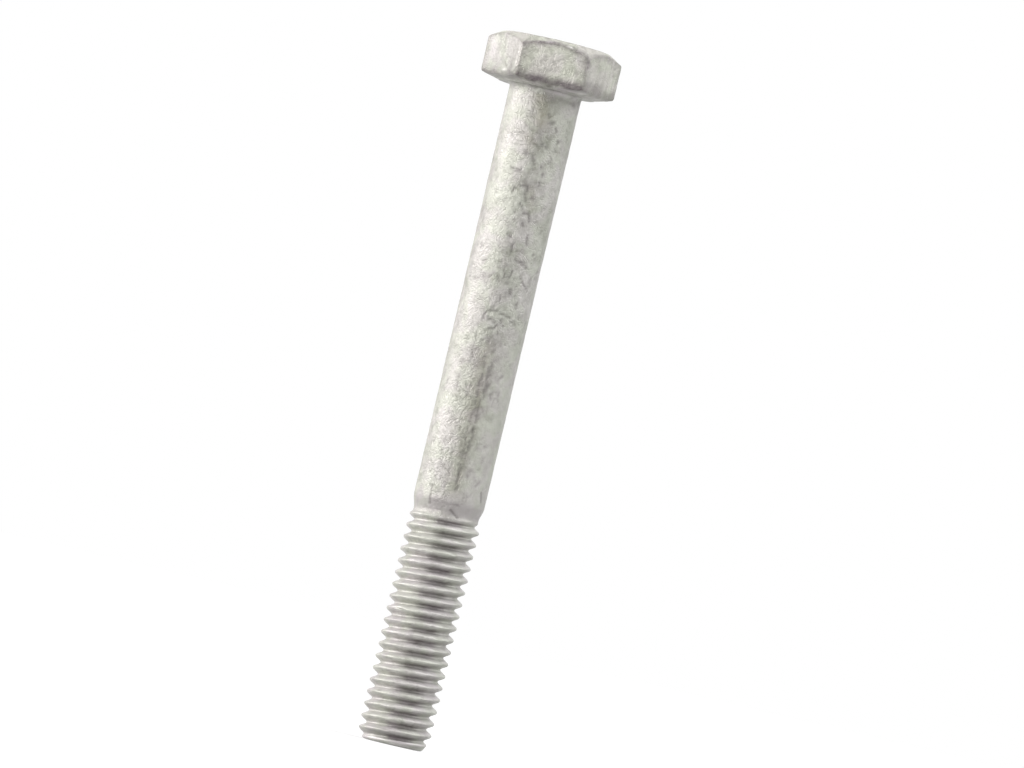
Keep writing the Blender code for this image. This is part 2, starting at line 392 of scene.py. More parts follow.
bolt = bpy.data.objects.new("galvanised_hex_bolt", bpy.data.meshes.new("galvanised_hex_bolt"))
bpy.context.scene.collection.objects.link(bolt)
stem_mesh = run_tree(bolt, stem_tree, stem_sizes)
print("The stem has", len(stem_mesh.vertices), "points")

# %% [markdown]
# ## The forged head
#
# The head is a hexagon 10 mm across its flats, less what forging takes off. Its top is cut to a
# cone of 30 degrees, a little steeper towards the front, which leaves the arcs over each face.
# Its lower edge is rolled over, and under it a flat ring round the shank carries the load, with
# a shallow cone from there out to the corners. It could be a cylinder cut by six planes, but
# its edges would then be razor sharp. Here it is a stack of rings: each ring is a circle, a
# six-sided outline with rounded corners, or something between them, so that every edge gets
# the small radius that the zinc leaves.

# %% The six-sided outline
FLATS = 9.78 * MM
CORNER_ROUNDING = 0.40 * MM
CORNER_STEPS = 3
SECTOR_STEPS = AROUND // 6


def nearest_corner(column):
    """Which of the six corners this column is nearest to, and how many steps lie between them."""
    corner = round(column / SECTOR_STEPS)
    return corner, column - corner * SECTOR_STEPS


def outline(column, inset):
    """One point of the six-sided outline, moved in by inset, at this column of the ring."""
    corner_number, away = nearest_corner(column)
    corner_angle = corner_number * math.pi / 3
    side = 1 if away >= 0 else -1
    inner = FLATS / 2 - CORNER_ROUNDING
    lean = min(abs(away) / CORNER_STEPS, 1.0) * math.pi / 6 * side
    straight = max(abs(away) - CORNER_STEPS, 0) / (SECTOR_STEPS / 2 - CORNER_STEPS)
    along = straight * inner * math.tan(math.pi / 6)
    corner = inner / math.cos(math.pi / 6)
    facing = corner_angle + lean
    sliding = corner_angle + side * math.pi * 2 / 3
    reach = CORNER_ROUNDING - inset
    x = corner * math.cos(corner_angle) + along * math.cos(sliding) + reach * math.cos(facing)
    y = corner * math.sin(corner_angle) + along * math.sin(sliding) + reach * math.sin(facing)
    return x, y


def circle(column, radius):
    """One point of a circle, on the same column as the stem's."""
    angle = column * 2 * math.pi / AROUND
    return radius * math.cos(angle), radius * math.sin(angle)


print("A corner stands", round(outline(0, 0.0)[0] / MM, 3), "mm from the axis")

# %% The rings from the shank to the head's lower edge
FILLET = 0.32 * MM
BEARING_PLANE = 55.0 * MM
WASHER_RADIUS = 4.05 * MM
WASHER_STEP = 0.05 * MM
UNDERSIDE_SLOPE = 0.25
LOWER_INSET = 0.30 * MM
LOWER_TOP = 55.82 * MM
SHARPER_CORNERS = 0.5
# How high the lower edge is rolled on each face, going round from the back right.
ROLL_OF_FACE = (1.0, 0.9, 1.1, 0.75, 1.25, 1.1)
SHANK_AT_HEAD = SHANK_RADIUS + SHOULDER_SWELL
FILLET_FOOT = BEARING_PLANE - FILLET
rings = []


def round_ring(radius, height):
    """Adds a circle of points to the head."""
    rings.append([(*circle(column, radius), height) for column in range(AROUND)])


def arc(steps):
    """Angles of a quarter turn, from 0 to 90 degrees."""
    return [math.pi / 2 * k / steps for k in range(steps + 1)]


def underside(x, y):
    """How high the shallow cone under the head is at this point."""
    return BEARING_PLANE + WASHER_STEP + UNDERSIDE_SLOPE * (math.hypot(x, y) - WASHER_RADIUS)


round_ring(SHANK_AT_HEAD, STEM_TOP)
round_ring(SHANK_AT_HEAD, (STEM_TOP + FILLET_FOOT) / 2)
for angle in arc(6):
    round_ring(SHANK_AT_HEAD + FILLET * (1 - math.cos(angle)), FILLET_FOOT + FILLET * math.sin(angle))
WASHER_EDGE = WASHER_RADIUS - WASHER_STEP
for radius in np.linspace(SHANK_AT_HEAD + FILLET, WASHER_EDGE, 6)[1:]:
    round_ring(radius, BEARING_PLANE)
for angle in arc(3)[1:]:
    reach, rise = WASHER_STEP * (1 - math.sin(angle)), WASHER_STEP * (1 - math.cos(angle))
    round_ring(WASHER_RADIUS - reach, BEARING_PLANE + rise)


def face_of(column):
    """Which of the six faces this column lies on."""
    return min(int(column / SECTOR_STEPS), 5)


def corner_share(column):
    """1 at a corner of the outline, 0 in the middle of a side."""
    reach = math.hypot(*outline(column, 0.0))
    return (reach - FLATS / 2) / (math.hypot(*outline(0, 0.0)) - FLATS / 2)


def roll_share(column):
    """How much of the full roll the lower edge has here: less at a corner, and each face its own."""
    corner = corner_share(column)
    roll = ROLL_OF_FACE[face_of(column)]
    return (1 - SHARPER_CORNERS * corner) * (1 + (roll - 1) * (1 - corner))


def lower_inset(column):
    """How far in from the outline the roll of the lower edge starts."""
    return LOWER_INSET * roll_share(column)


def lower_top(column):
    """Where the rolled lower edge ends and the flat of the face begins."""
    x, y = outline(column, 0.0)
    middle = underside(FLATS / 2, 0.0)
    return underside(x, y) + (LOWER_TOP - middle) * roll_share(column)


def on_underside(column, share):
    """A point of the shallow cone, this share of the way from the washer face to the roll."""
    x, y = circle(column, WASHER_RADIUS)
    far_x, far_y = outline(column, lower_inset(column))
    x, y = x + (far_x - x) * share, y + (far_y - y) * share
    return x, y, underside(x, y)


def on_roll(column, angle):
    """A point of the rolled lower edge, at this angle round its quarter turn."""
    x, y = outline(column, lower_inset(column) * (1 - math.sin(angle)))
    low = underside(*outline(column, lower_inset(column)))
    return x, y, low + (lower_top(column) - low) * (1 - math.cos(angle))


rings += [[on_underside(column, share) for column in range(AROUND)] for share in (0.05, 0.25, 0.5, 0.75)]
rings += [[on_roll(column, angle) for column in range(AROUND)] for angle in arc(8)]
print("The underside of the head has", len(rings), "rings")

# %% The sides, the cone and the top
SIDE_RINGS = 15
CONE_RINGS = 6
TOP_RINGS = 15
TOP_CIRCLE = 4.45 * MM
TOP_SLOPE = math.tan(math.radians(30))
CUT_ASKEW = 0.27
EDGE_RADIUS = 0.11 * MM
BEND_SHARES = (0.25, 0.5, 0.75)


def cone_height(x, y):
    """How high the cone lies here: 30 degrees, and cut a little steeper towards the front."""
    radius = math.hypot(x, y)
    slope = TOP_SLOPE + CUT_ASKEW * max(0.0, -y / radius)
    return HEAD_TOP - (radius - TOP_CIRCLE) * slope


def bend(start, corner, end, share):
    """A point on the small curve that rounds an edge."""
    rest = 1 - share
    return [rest * rest * a + 2 * rest * share * b + share * share * c for a, b, c in zip(start, corner, end)]


def head_profile(column):
    """The points from the lower edge of a face to the top circle, at one column."""
    x, y = outline(column, 0.0)
    edge = (x, y, cone_height(x, y))
    heights = np.linspace(lower_top(column), edge[2] - EDGE_RADIUS, SIDE_RINGS + 1)[1:]
    profile = [(x, y, height) for height in heights]
    length = math.hypot(x, y)
    out_x, out_y = x / length, y / length

    def on_cone(radius):
        x, y = out_x * radius, out_y * radius
        return x, y, cone_height(x, y)

    def on_flat(radius):
        return out_x * radius, out_y * radius, HEAD_TOP

    inner, outer = TOP_CIRCLE - EDGE_RADIUS, TOP_CIRCLE + EDGE_RADIUS
    profile += [bend(profile[-1], edge, on_cone(length - EDGE_RADIUS), share) for share in BEND_SHARES]
    profile += [on_cone(radius) for radius in np.linspace(length - EDGE_RADIUS, outer, CONE_RINGS + 1)]
    profile += [bend(on_cone(outer), on_flat(TOP_CIRCLE), on_flat(inner), share) for share in BEND_SHARES]
    return profile + [on_flat(radius) for radius in np.linspace(inner, 0.0, TOP_RINGS + 1)[:-1]]


FIRST_SIDE_RING = len(rings)
profiles = [head_profile(column) for column in range(AROUND)]
rings += [list(ring) for ring in zip(*profiles)]
print("The whole head has", len(rings), "rings")

# %% How each face looks
# All of these go round from the back right. How pale each face and the cone over it are
# painted: partly the head's own paler zinc, partly painted light, set face by face:
FACE_TONES = (0.30, 0.40, 0.25, 0.0, 0.46, 0.33)
CONE_TONES = (0.30, 0.25, 0.40, 0.42, 0.30, 0.45)
TOP_TONE = 0.33
# How strongly drips pulled streaks down each face.
STREAKS = (0.4, 0.3, 0.6, 0.35, 0.15, 1.1)
TOP_STREAKS = 0.3
# How dark each corner's seam is: partly iron showing through, partly painted shade. The darkest
# reaches down round the roll under it, and one lies beside its corner and is narrower.
SEAM_TONES = (0.8, 0.5, 0.7, 0.5, 0.7, 1.0)
SEAM_WIDTH = CORNER_STEPS + 1.5
DARKEST_SEAM, SEAM_REACH = 5, 7
SHIFTED_SEAM, SEAM_SHIFT, SEAM_NARROWING = 4, 2, 1.3
# How dark the painted shade along each face's lower edge is, and the arc along its upper edge
# (partly painted shade as well).
BAND_TONES = (0.8, 0.7, 0.8, 0.55, 1.0, 0.55)
ARC_TONES = (0.8, 0.7, 0.8, 0.35, 1.0, 0.60)
# The arc is broader over part of the middle face.
ARC_WIDTH, BROAD_ARC_WIDTH, BROAD_ARC = 2.7, 4.0, range(123, 141)
# How high the band along the lower edge reaches on each face, in millimetres above the tip,
# and over how much height it fades at its upper and its lower end.
BAND_TOPS = (56.15, 56.05, 56.15, 55.95, 56.22, 56.40)
BAND_FOOT = 55.05
TOP_FADE, FOOT_FADE = 0.60, 0.30
# The rings of the upper edge and of the rim round the flat top, counted up from the sides' first.
ARC_RING = SIDE_RINGS + 1
RIM_RING = SIDE_RINGS + CONE_RINGS + 6
RIM_TONE = 0.5


def between_0_and_1(value):
    """The value, held between 0 and 1."""
    return min(max(value, 0.0), 1.0)


def edge_share(number, column):
    """How near a point of the head lies to one of its edges: 1 on the edge, 0 on a face."""
    side = number - FIRST_SIDE_RING
    corner, away = nearest_corner(column)
    seam = SEAM_TONES[corner % 6]
    if corner == SHIFTED_SEAM:
        away = (away - SEAM_SHIFT) * SEAM_NARROWING
    lowest = -SEAM_REACH if corner == DARKEST_SEAM else 0
    seam *= max(0.0, 1 - abs(away) / (SEAM_WIDTH + seam)) * (lowest <= side < SIDE_RINGS)
    above = side - ARC_RING
    width = BROAD_ARC_WIDTH if above > 0 and column in BROAD_ARC else ARC_WIDTH
    arc_here = between_0_and_1(1.5 - abs(above) / width) * ARC_TONES[face_of(column)]
    rim = RIM_TONE * max(0.0, 1 - abs(side - RIM_RING) / 2)
    return max(seam, arc_here, rim)


def lower_edge_shade_share(number, column):
    """Painted shade: 1 on the rolled lower edge of a face, fading upwards to nothing along an uneven line."""
    x, y, height = rings[number][column]
    height = height / MM + 0.05 * math.sin(0.9 * column + 1.0) + 0.03 * math.sin(2.3 * column)
    above = between_0_and_1((BAND_TOPS[face_of(column)] - height) / TOP_FADE) ** 1.6
    below = between_0_and_1((height - BAND_FOOT) / FOOT_FADE)
    return above * below * (math.hypot(x, y) > WASHER_RADIUS) * BAND_TONES[face_of(column)]


def tone_share(number, column):
    """The tone of the face, of the piece of cone over it, or of the flat top."""
    side = number - FIRST_SIDE_RING
    tones = FACE_TONES if side <= ARC_RING else CONE_TONES
    return TOP_TONE if side >= RIM_RING else tones[face_of(column)]


def streak_share(number, column):
    """How strongly drips pulled streaks over this point."""
    return TOP_STREAKS if number - FIRST_SIDE_RING >= RIM_RING else STREAKS[face_of(column)]


head_looks = {"edge": edge_share, "rolled": lower_edge_shade_share, "face_tone": tone_share, "streaky": streak_share}
print("Each point of the head remembers", len(head_looks), "things about its look")

# %% Head and stem in one surface
WELD_DISTANCE = 0.003 * MM
shell = bmesh.new()
shell.from_mesh(stem_mesh)
layers = {name: shell.verts.layers.float.new(name) for name in head_looks}
corners = []
for number, ring in enumerate(rings):
    corners.append([shell.verts.new(point) for point in ring])
    for column, vert in enumerate(corners[-1]):
        for name, look in head_looks.items():
            vert[layers[name]] = look(number, column)
top_centre = shell.verts.new((0.0, 0.0, HEAD_TOP))
for below, over in zip(corners, corners[1:]):
    for column in range(AROUND):
        after = (column + 1) % AROUND
        shell.faces.new((below[column], below[after], over[after], over[column]))
for column in range(AROUND):
    shell.faces.new((corners[-1][column], corners[-1][(column + 1) % AROUND], top_centre))
bmesh.ops.remove_doubles(shell, verts=shell.verts, dist=WELD_DISTANCE)
bmesh.ops.recalc_face_normals(shell, faces=shell.faces)
open_edges = sum(1 for edge in shell.edges if len(edge.link_faces) != 2)
triangles = sum(len(face.verts) - 2 for face in shell.faces)
shell.to_mesh(bolt.data)
shell.free()
print("The bolt has", triangles, "triangles and", open_edges, "open edges")

# %% [markdown]
# ## The coat of zinc
#
# Molten zinc doesn't lie evenly. It runs, freezes in soft lumps and small pits, and is thicker
# on the plain shank than on the thread, where a spin throws some of it off. The lumps are
# only a few hundredths of a millimetre high, but low light across the shank shows each of
# them, so they are moved in the surface itself. Only the finest grit is left to the finish.

# %% Noise with a real size
def cloud(place, size, detail=2.0, rough=0.5, bend=0.0, seed=0.0):
    """Noise whose features are about size metres across: 0 to 1, mostly near a half."""
    values = {"Scale": 1.0 / size, "Detail": detail, "Roughness": rough, "Distortion": bend}
    values |= {"Vector": place, "W": seed}
    return add_node(place.tree, "ShaderNodeTexNoise", values, noise_dimensions="4D")


print("Noise is ready")

# %% The lumps and pits of the coat
coat_sizes = {
    "Lump Height": 0.034 * MM,
    "Pit Depth": 0.030 * MM,
    "Seed": 7,
}
LUMP_SIZE = 0.80 * MM
SWELL_SIZE = 2.4 * MM
SWELL_SHARE = 0.3
PIT_SIZE = 0.84 * MM
PIT_PATCH_SIZE = 1.6 * MM
THREAD_COAT = 0.90
coat_tree, coat = new_geometry_tree("zinc_coat", coat_sizes, takes_mesh=True)
place = add_node(coat_tree, "GeometryNodeInputPosition")
normal = add_node(coat_tree, "GeometryNodeInputNormal")
kind = "GeometryNodeInputNamedAttribute"
on_thread = add_node(coat_tree, kind, {"Name": "threaded"}, data_type="FLOAT")
lumps = (cloud(place, LUMP_SIZE, detail=1.5, bend=0.6, seed=coat["Seed"]) - 0.5) * 2.0
swells = (cloud(place, SWELL_SIZE, detail=1.0, seed=coat["Seed"]) - 0.5) * SWELL_SHARE
# Pits lie along thin curling lines, where a second noise passes its middle, and only in patches.
from_curl = maths("ABSOLUTE", cloud(place, PIT_SIZE, detail=1.0, bend=1.2, seed=coat["Seed"] + 3) - 0.5)
patches = ramp_between(cloud(place, PIT_PATCH_SIZE, detail=1.0, seed=coat["Seed"] + 9), 0.50, 0.62)
pits = ramp_between(from_curl, 0.0, 0.045, 1.0, 0.0) * patches
raised = (lumps + swells) * coat["Lump Height"] - pits * coat["Pit Depth"]
# The spin throws some of the coat off the thread.
left_on = ramp_between(on_thread, 0.0, 1.0, 1.0, THREAD_COAT, "LINEAR")
outwards = {0: normal, "Scale": raised * left_on}
shift = add_node(coat_tree, "ShaderNodeVectorMath", outwards, operation="SCALE")
shape = remember(coat["Mesh"], "pitted", pits * left_on)
lifted = add_node(coat_tree, "GeometryNodeSetPosition", {"Geometry": shape, "Offset": shift})
end_tree(add_node(coat_tree, "GeometryNodeSetShadeSmooth", {0: lifted}), zinc)
coated = run_tree(bolt, coat_tree, coat_sizes)
bare = bolt.data
bolt.data = coated
bpy.data.meshes.remove(bare)
coated.name = "galvanised_hex_bolt"
print("The coat lifts the surface by up to", coat_sizes["Lump Height"] / MM, "mm")

# %% [markdown]
# ## Knocks and runs
#
# Bolts are dipped by the basketful, so each one has its own marks: a bead where zinc dripped,
# short curls where two bolts touched, and a broken line along the shank where it lay. They
# can't come from noise, because each has its own place. Each one is a few strokes across the
# surface, pressed in or raised like a soft chisel mark. Smudges, stains and pale dabs are
# strokes too, but they only change the colour of the zinc.

# %% Strokes on the surface
SHORTEST_LINE = 1e-12


def read_table(mesh, name):
    """One property of all the mesh's points, as a table of x, y, z."""
    values = np.empty(len(mesh.vertices) * 3)
    mesh.vertices.foreach_get(name, values)
    return values.reshape(-1, 3)


def stroke_share(start, end, width):
    """How strongly a stroke reaches each point: 1 on its line, fading over its width."""
    front_x = np.arctan2(points[:, 0], -points[:, 1]) * SHANK_RADIUS
    flat = np.stack([front_x, points[:, 2]], axis=1)
    a, b = np.array(start) * MM, np.array(end) * MM
    line = b - a
    along = np.clip(((flat - a) @ line) / max(line @ line, SHORTEST_LINE), 0, 1)
    gap = np.linalg.norm(flat - (a + along[:, None] * line), axis=1) / (width * MM)
    return np.exp(-gap * gap)


def path_share(width, path):
    """How strongly a stroke along a whole path reaches each point."""
    return np.maximum.reduce([stroke_share(start, end, width) for start, end in zip(path, path[1:])])


def push(share, height):
    """Raises the surface by up to height millimetres, or presses it in."""
    points[:] += outward * (share * height * MM)[:, None]


def lay(layer, amount):
    """Lays an amount over a layer: at each point the stronger of the two stays."""
    np.maximum(layer, amount, out=layer)


def carve(where, strokes, dirt):
    """Raises strokes or presses them in: each has a height, a width and a path."""
    for height, width, *path in strokes:
        share = path_share(width, path) * where
        push(share, height)
        lay(dirt_and_painted_shade, share * dirt(height))


def paint(layer, where, strokes):
    """Lays strokes of colour over a layer: each has a strength, a width and a path."""
    for strength, width, *path in strokes:
        lay(layer, strength * path_share(width, path) * where)


points = read_table(coated, "co")
outward = read_table(coated, "normal")
dirt_and_painted_shade, stained, pale_run_and_painted_light = np.zeros((3, len(points)))
print("There are", len(points), "points to work on")

# %% The marks on the shank
# Each mark: how far it is raised (or pressed in), its width, and the line it follows, all in
# millimetres: how far round from the front, then the height above the tip.
marks = [
    # By the head: a bead, and the dents round it.
    (0.075, 0.18, (0.7, 52.61), (0.8, 52.51)),
    (-0.04, 0.13, (0.62, 53.0), (0.7, 52.91)),
    (-0.055, 0.14, (0.98, 52.31), (1.25, 52.41)),
    (-0.045, 0.14, (1.5, 52.01), (1.62, 51.76)),
    (-0.045, 0.13, (1.98, 51.01), (2.02, 50.86)),
    (-0.03, 0.1, (-0.95, 51.71), (-0.9, 51.61)),
    # A pair of dents, a smudge and more dents.
    (-0.045, 0.15, (0.66, 50.52), (0.72, 50.42)),
    (-0.05, 0.16, (1.0, 50.37), (1.08, 50.27)),
    (-0.035, 0.18, (0.1, 49.47), (0.4, 48.82)),
    (-0.045, 0.13, (1.0, 48.72), (1.05, 48.62)),
    (-0.035, 0.13, (1.62, 49.12), (1.8, 49.02)),
    (-0.04, 0.11, (1.28, 48.18), (1.3, 47.98)),
    (-0.045, 0.13, (1.18, 47.38), (1.22, 47.18)),
    # A short curl with a tail.
    (-0.045, 0.1, (-1.38, 48.13), (-1.0, 47.98), (-0.58, 48.03)),
    (-0.035, 0.08, (-1.18, 47.73), (-1.1, 47.58)),
    # A hook, and what lies under it.
    (-0.05, 0.09, (-0.75, 46.18), (-0.75, 46.58), (-0.33, 46.76), (0.05, 46.86), (0.33, 46.83)),
    (-0.06, 0.13, (0.33, 46.83), (0.36, 46.48)),
    (-0.05, 0.14, (0.22, 46.23), (0.42, 45.74)),
    (-0.055, 0.13, (0.78, 45.98), (0.95, 46.13)),
    (-0.04, 0.09, (0.0, 45.41), (0.33, 45.04)),
    # A blot with specks under it.
    (-0.045, 0.13, (0.45, 44.64), (0.9, 44.74), (1.12, 44.09)),
    (-0.04, 0.1, (-0.26, 44.64), (-0.24, 44.54)),
    (-0.04, 0.14, (0.56, 43.89), (0.62, 43.69)),
    (-0.05, 0.13, (-0.2, 42.65), (-0.1, 42.55)),
    (-0.04, 0.12, (1.25, 42.9), (1.32, 42.3)),
    (-0.045, 0.12, (0.2, 41.9), (0.22, 41.35)),
    # Two scratches and an open box.
    (-0.04, 0.09, (0.66, 40.81), (1.25, 40.66), (1.95, 40.31)),
    (-0.045, 0.11, (1.18, 40.73), (1.32, 40.69)),
    (-0.045, 0.08, (0.0, 39.91), (0.15, 39.19), (0.58, 39.26), (0.68, 39.91)),
    (-0.04, 0.1, (1.45, 39.56), (1.92, 39.03), (2.55, 38.62)),
    # A round dent, two nicks and a thin line.
    (-0.05, 0.19, (0.86, 38.32), (0.92, 37.97)),
    (-0.035, 0.09, (0.16, 37.67), (0.25, 37.22)),
    (-0.035, 0.11, (1.72, 37.32), (1.78, 37.02)),
    (-0.022, 0.07, (-2.55, 38.52), (-1.75, 38.83), (-1.0, 39.01)),
    # The large curl, with an arc over it and a lip in it.
    (-0.05, 0.09, (-0.75, 35.48), (-0.75, 35.98), (-0.4, 36.37), (0.05, 36.47), (0.45, 36.28), (1.45, 36.08)),
    (0.04, 0.09, (-0.5, 36.03), (0.0, 35.88), (0.4, 35.98)),
    (-0.06, 0.09, (-0.33, 35.7), (0.16, 35.53), (0.42, 35.28), (0.3, 34.98), (-0.16, 34.88)),
    (-0.045, 0.09, (0.68, 35.78), (0.76, 35.45), (1.02, 35.28)),
    (-0.055, 0.13, (1.6, 35.78), (2.05, 35.71)),
    (-0.035, 0.1, (0.66, 34.73), (0.68, 34.58)),
    (-0.03, 0.08, (-1.1, 34.43), (-0.9, 33.64)),
    # The foot of the shank, the neck and the run-out.
    (-0.05, 0.09, (-1.75, 21.4), (-1.7, 19.95)),
    (-0.04, 0.08, (-2.05, 21.3), (-1.75, 21.4)),
    (0.03, 0.22, (-1.35, 21.3), (-1.3, 20.6)),
    (-0.06, 0.1, (0.25, 19.75), (1.0, 19.25)),
    (-0.02, 0.09, (-1.6, 20.15), (-0.9, 20.25)),
    (-0.012, 0.08, (-0.7, 20.22), (0.2, 20.2)),
    (-0.018, 0.09, (0.3, 20.28), (0.9, 20.22)),
    (-0.05, 0.1, (2.75, 21.7), (3.05, 20.9)),
]
# The deeper a hollow, the more dirt it holds.
DIRTY_DEPTH = 0.04
on_stem = (points[:, 2] < 54.5 * MM) & (points[:, 2] > 0.2 * MM)
carve(on_stem, marks, dirt=lambda height: np.clip(-height / DIRTY_DEPTH, 0, 1))
print("The shank has", len(marks), "marks")

# %% Ticks, a broken line, nicks and pocks
HALF_ROUND = 9.2
TICKS, LINE_PIECES, CREST_NICKS, POCKS = 190, 120, 230, 110
# Where they lie, in millimetres above the tip.
TICKS_FROM, TICKS_TO = 20.8, 53.6
LINE_FROM, LINE_TO = 21.2, 32.6
PATCH_FROM, PATCH_TO = 27.9, 29.3
STRANDS_MEET = 23.3
POCKS_FROM, POCKS_TO = 20.8, 34.0
chance = np.random.default_rng(11)


def press(middle, reach, strength, width, depth=0.03, dirt=1.0):
    """Presses in a stroke that reaches both ways from its middle, and lets dirt gather in it."""
    middle, reach = np.array(middle), np.array(reach)
    share = stroke_share(middle - reach, middle + reach, width)
    push(share * strength, -depth)
    lay(dirt_and_painted_shade, share * max(strength, 0.0) * dirt)


# Between the marks lie many short ticks, most of them on the side that the bolt lay on.
for tick in range(TICKS):
    anywhere = tick % 3 == 0
    round_from_front = chance.uniform(-HALF_ROUND, HALF_ROUND) if anywhere else chance.normal(0.7, 1.3)
    middle = (round_from_front, chance.uniform(TICKS_FROM, TICKS_TO))
    lean = chance.uniform(0, math.pi)
    reach = chance.uniform(0.04, 0.26) * np.array([math.cos(lean), math.sin(lean)])
    press(middle, reach, chance.uniform(0.2, 0.65), chance.uniform(0.10, 0.15))
print("It also has", TICKS, "ticks")


def strand_place(piece, height):
    """How far round from the front the broken line runs: two strands, which meet near its foot."""
    if height < STRANDS_MEET:
        return 0.26
    return 0.13 if piece % 3 == 0 else 0.42 + 0.033 * (height - 22.0)


# Where the shank lay on others while the zinc set, a broken brown line runs down it, with one
# wider patch.
for piece in range(LINE_PIECES):
    height = chance.uniform(LINE_FROM, LINE_TO)
    middle = [strand_place(piece, height) + chance.normal(0.0, 0.07), height]
    reach = (chance.normal(0.0, 0.05), chance.uniform(0.03, 0.28))
    if PATCH_FROM < height < PATCH_TO:
        middle[0] = chance.uniform(0.10, 0.65)
    press(middle, reach, chance.uniform(0.5, 1.0), chance.uniform(0.08, 0.13))
print("and", LINE_PIECES, "pieces of a line")

# Rolling and shipping leave short nicks on the thread's crests.
for nick in range(CREST_NICKS):
    round_from_front = chance.uniform(-HALF_ROUND, HALF_ROUND)
    turn_here = round(chance.uniform(1, 17))
    climb = (round_from_front * MM / SHANK_RADIUS / (2 * math.pi) - 0.25) % 1.0
    crest = FIRST_CREST / MM + turn_here + climb
    middle = (round_from_front, crest + chance.normal(0.0, 0.06))
    reach = (chance.uniform(0.03, 0.30), 0.0)
    press(middle, reach, chance.uniform(-0.6, 1.0), chance.uniform(0.07, 0.12), depth=0.075, dirt=0.5)
print("and", CREST_NICKS, "nicks on the thread")

# Left of the brown line the coat is pocked with short upright pits.
for pock in range(POCKS):
    middle = (chance.normal(-0.9, 0.65), chance.uniform(POCKS_FROM, POCKS_TO))
    reach = (chance.normal(0.0, 0.03), chance.uniform(0.02, 0.20))
    press(middle, reach, chance.uniform(0.15, 0.70), chance.uniform(0.08, 0.15))
print("and", POCKS, "pocks beside the line")

# %% Beads and smudges on the head
# Beads stand where the zinc drained from the head's lower left corner: height, width and path.
beads = [
    (-0.07, 0.13, (-2.05, 56.15), (-1.9, 55.95)),
    (-0.07, 0.15, (-2.5, 55.98), (-2.3, 55.9)),
    (-0.04, 0.3, (1.95, 55.95), (2.9, 56.05)),
    (-0.04, 0.12, (-1.62, 55.95), (-1.6, 55.7)),
    (0.1, 0.2, (-1.72, 56.3), (-1.68, 55.85)),
    (0.08, 0.16, (-1.95, 55.75), (-1.85, 55.65)),
    (0.06, 0.22, (-2.6, 55.9), (-2.2, 55.75)),
    (0.05, 0.15, (-1.7, 57.6), (-1.68, 56.9)),
    (0.06, 0.12, (-2.6, 55.72), (-2.48, 55.66)),
    (0.06, 0.09, (0.63, 58.62), (0.68, 58.62)),
    (0.04, 0.2, (0.3, 58.15), (0.5, 58.1)),
    (0.04, 0.14, (-0.7, 58.05), (-0.5, 58.1)),
    (0.035, 0.3, (0.55, 57.6), (0.6, 56.6)),
    (0.03, 0.25, (-0.9, 57.0), (-0.5, 56.4)),
]
HOLLOW_DIRT = 0.6
on_head = points[:, 2] > 55.4 * MM
carve(on_head, beads, dirt=lambda height: HOLLOW_DIRT * (height < 0))
print("The head has", len(beads), "beads and hollows")

# Small smudges lie along its upper edge and down its left side: strength, width and path.
smudges_on_head = [
    (0.5, 0.1, (0.84, 58.64), (0.9, 58.58)),
    (0.6, 0.1, (-1.46, 58.2), (-1.43, 57.85)),
    (0.65, 0.15, (1.45, 58.1), (1.49, 57.65)),
    (0.26, 0.09, (-3.89, 56.48), (-2.73, 56.63)),
    (0.25, 0.08, (-3.51, 56.25), (-2.92, 56.36)),
    (0.8, 0.13, (-2.66, 56.2), (-2.42, 56.08)),
    (0.65, 0.16, (-2.05, 56.0), (-1.99, 55.62)),
    (0.28, 0.32, (-4.25, 55.86), (-3.3, 55.86)),
]
paint(dirt_and_painted_shade, on_head, smudges_on_head)
print("and", len(smudges_on_head), "smudges")

# %% Stains, and a painted shadow under the head
# Where the zinc froze thin, iron shows through: strength, width and path.
stains = [
    # Under the head, and two clouds on the upper shank.
    (0.8, 0.6, (-0.35, 54.3), (0.15, 53.2), (0.2, 52.3)),
    (0.35, 0.55, (-0.6, 50.9), (-0.2, 50.2)),
    (0.4, 0.45, (0.7, 46.4), (1.0, 45.2)),
    # A patch on the broken line, its foot, and the long cloud that it lies in.
    (0.9, 0.3, (0.3, 29.6), (0.45, 28.5)),
    (0.7, 0.3, (0.3, 23.2), (0.2, 21.6)),
    (0.5, 0.75, (0.1, 33.0), (0.1, 21.5)),
]
paint(stained, on_stem, stains)
print("The shank has", len(stains), "stains")

# A dark ring is painted round the shank under the head, darkest at the front right: painted shadow of the
# head.
shadow_under_head = [
    (0.3, 0.22, (-9.3, 54.65), (-3.4, 54.7)),
    (0.35, 0.2, (-3.4, 54.72), (-1.0, 54.6)),
    (0.35, 0.3, (-0.9, 54.4), (0.6, 54.28)),
    (0.6, 0.34, (0.6, 54.28), (1.6, 54.22)),
    (0.8, 0.26, (1.3, 54.36), (2.9, 54.26)),
    (0.3, 0.22, (3.2, 54.5), (9.3, 54.65)),
    (0.4, 0.95, (-0.1, 54.15), (0.8, 54.0), (1.7, 54.05)),
]
paint(dirt_and_painted_shade, points[:, 2] < 55.2 * MM, shadow_under_head)
print("and a dark ring under the head")

# %% How rough the coat is
round_here = np.arctan2(points[:, 0], -points[:, 1]) * SHANK_RADIUS / MM
level_here = points[:, 2] / MM
radius_here = np.hypot(points[:, 0], points[:, 1])


def bell(value, middle, width, power=2):
    """1 in the middle, fading to 0 over about a width to both sides."""
    return np.exp(-((value - middle) / width) ** power)


def below_edge(value, edge, softness):
    """1 well below the edge, and 0 well above it."""
    return 1 / (1 + np.exp((value - edge) / softness))


# The coat is roughest along the front, and smoothest where it ran out at the lower right.
rough = 0.58 + 0.42 * bell(round_here, -0.2, 1.5) + 0.2 * bell(abs(round_here), 7.5, 2.0)
ran_smooth = below_edge(level_here, 33.5, 1.2) * below_edge(-round_here, -0.9, 0.25)
rough *= 1 - 0.65 * ran_smooth * (round_here < 6.0)
rough *= 1 + 0.35 * bell(round_here, -0.7, 0.8) * below_edge(level_here, 32.5, 1.2)
